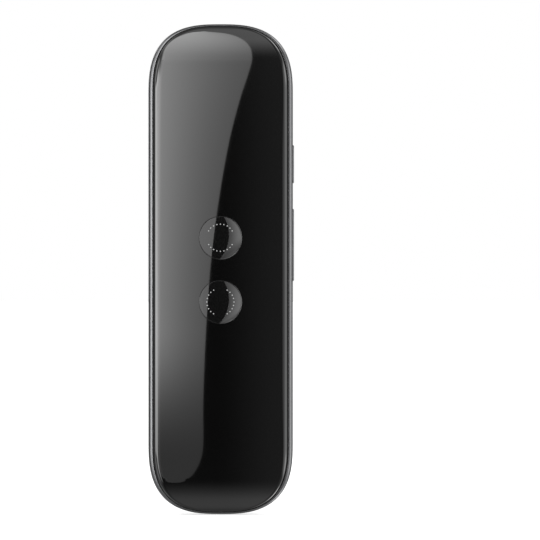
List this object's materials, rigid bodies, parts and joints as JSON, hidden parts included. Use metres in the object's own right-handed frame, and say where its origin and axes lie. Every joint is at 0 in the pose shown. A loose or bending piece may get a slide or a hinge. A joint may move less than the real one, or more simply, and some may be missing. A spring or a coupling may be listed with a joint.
{
  "type": "handheld voice translator",
  "caption": "Slim stick-shaped handheld voice device with a glossy curved front, two round dished talk buttons, a metal side band with keys, and a domed rear shell with a speaker grille.",
  "frame": {"origin": "middle of the body, halfway along its length, width and depth", "axes": "+Z to the top end, -Y out of the glossy front, +X to the side with the keys"},
  "size_m": [0.0416, 0.013, 0.14],
  "materials": {
    "panel_gloss": "polished",
    "adhesive_black": "matt",
    "band_gunmetal": "satin",
    "chassis_grey": "matt",
    "shell_satin": "satin",
    "screw_steel": "plain",
    "button_gloss": "polished",
    "dot_pale": "matt",
    "key_gunmetal": "satin",
    "board_green": "solder mask",
    "chip_black": "moulded",
    "shield_tin": "plated",
    "capacitor_tan": "ceramic",
    "ceramic_white": "ceramic",
    "switch_black": "moulded",
    "plunger_ivory": "moulded",
    "dome_steel": "polished",
    "cell_foil": "foil",
    "tape_white": "paper",
    "foam_black": "foam",
    "wire_red": "sleeved",
    "wire_gold": "bare",
    "speaker_black": "moulded",
    "magnet_nickel": "nickel plated",
    "cone_black": "film",
    "surround_rubber": "soft",
    "mesh_black": "woven",
    "mic_gold": "plated",
    "boot_rubber": "soft",
    "usb_steel": "plated",
    "usb_black": "moulded"
  },
  "bodies": {
    "casing": {"front_panel": "panel_gloss", "panel_adhesive": "adhesive_black", "side_band": "band_gunmetal", "inner_chassis": "chassis_grey", "rear_shell": "shell_satin", "chassis_screws": "screw_steel", "main_circuit_board": "board_green", "board_screws": "screw_steel", "processor_chip": "chip_black", "memory_chip": "chip_black", "radio_shield_can": "shield_tin", "audio_chip": "chip_black", "power_chip": "chip_black", "board_capacitors": "capacitor_tan", "antenna_chip": "ceramic_white", "upper_switch_base": "switch_black", "upper_switch_dome": "dome_steel", "lower_switch_base": "switch_black", "lower_switch_dome": "dome_steel", "power_switch_base": "switch_black", "upper_volume_switch_base": "switch_black", "lower_volume_switch_base": "switch_black", "battery_cell": "cell_foil", "battery_protection_board": "board_green", "battery_tape": "tape_white", "battery_foam_pad": "foam_black", "battery_leads": "wire_red", "battery_connector": "ceramic_white", "speaker_basket": "speaker_black", "speaker_magnet": "magnet_nickel", "speaker_surround": "surround_rubber", "speaker_gasket": "foam_black", "speaker_mesh": "mesh_black", "speaker_leads": "wire_gold", "microphone": "mic_gold", "microphone_boot": "boot_rubber", "usb_socket_shell": "usb_steel", "usb_socket_tongue": "usb_black"},
    "upper_button": {"upper_talk_button": "button_gloss", "upper_button_dots": "dot_pale"},
    "lower_button": {"lower_talk_button": "button_gloss", "lower_button_dots": "dot_pale"},
    "power_button": {"power_key": "key_gunmetal"},
    "rocker": {"volume_rocker": "key_gunmetal"},
    "upper_plunger": {"upper_switch_plunger": "plunger_ivory"},
    "lower_plunger": {"lower_switch_plunger": "plunger_ivory"},
    "power_plunger": {"power_switch_plunger": "plunger_ivory"},
    "volume_up_plunger": {"upper_volume_plunger": "plunger_ivory"},
    "volume_down_plunger": {"lower_volume_plunger": "plunger_ivory"},
    "cone": {"speaker_cone": "cone_black"}
  },
  "joints": [
    {"name": "upper_button_press", "type": "slide", "parent": "casing", "child": "upper_button", "axis": [0, 1, 0], "range_m": [0, 0.0003], "stiffness_N_per_m": 4000, "springref_m": -0.00004},
    {"name": "upper_plunger_travel", "type": "slide", "parent": "casing", "child": "upper_plunger", "axis": [0, 1, 0], "range_m": [0, 0.0003], "deforming": ["upper_switch_dome"]},
    {"name": "lower_button_press", "type": "slide", "parent": "casing", "child": "lower_button", "axis": [0, 1, 0], "range_m": [0, 0.0003], "stiffness_N_per_m": 4000, "springref_m": -0.00004},
    {"name": "lower_plunger_travel", "type": "slide", "parent": "casing", "child": "lower_plunger", "axis": [0, 1, 0], "range_m": [0, 0.0003], "deforming": ["lower_switch_dome"]},
    {"name": "power_key_press", "type": "slide", "parent": "casing", "child": "power_button", "axis": [-1, 0, 0], "range_m": [0, 0.00025], "stiffness_N_per_m": 4000, "springref_m": -0.00004},
    {"name": "power_plunger_travel", "type": "slide", "parent": "casing", "child": "power_plunger", "axis": [-1, 0, 0], "range_m": [0, 0.00025]},
    {"name": "volume_rock", "type": "hinge", "parent": "casing", "child": "rocker", "pos_m": [0.0179, -0.0032, 0.0069], "axis": [0, 1, 0], "range_deg": [-0.9, 0.9], "stiffness_Nm_per_rad": 0.3},
    {"name": "volume_up_plunger_travel", "type": "slide", "parent": "casing", "child": "volume_up_plunger", "axis": [-1, 0, 0], "range_m": [-0.000104, 0.000104]},
    {"name": "volume_down_plunger_travel", "type": "slide", "parent": "casing", "child": "volume_down_plunger", "axis": [-1, 0, 0], "range_m": [-0.000104, 0.000104]},
    {"name": "cone_travel", "type": "slide", "parent": "casing", "child": "cone", "axis": [0, 1, 0], "range_m": [-0.0002, 0.0002], "stiffness_N_per_m": 800, "deforming": ["speaker_surround"]}
  ],
  "couplings": [
    {"joint": "upper_plunger_travel", "follows": "upper_button_press", "ratio": 1},
    {"joint": "lower_plunger_travel", "follows": "lower_button_press", "ratio": 1},
    {"joint": "power_plunger_travel", "follows": "power_key_press", "ratio": 1},
    {"joint": "volume_up_plunger_travel", "follows": "volume_rock", "m_per_rad": -0.0065},
    {"joint": "volume_down_plunger_travel", "follows": "volume_rock", "m_per_rad": 0.0065}
  ]
}
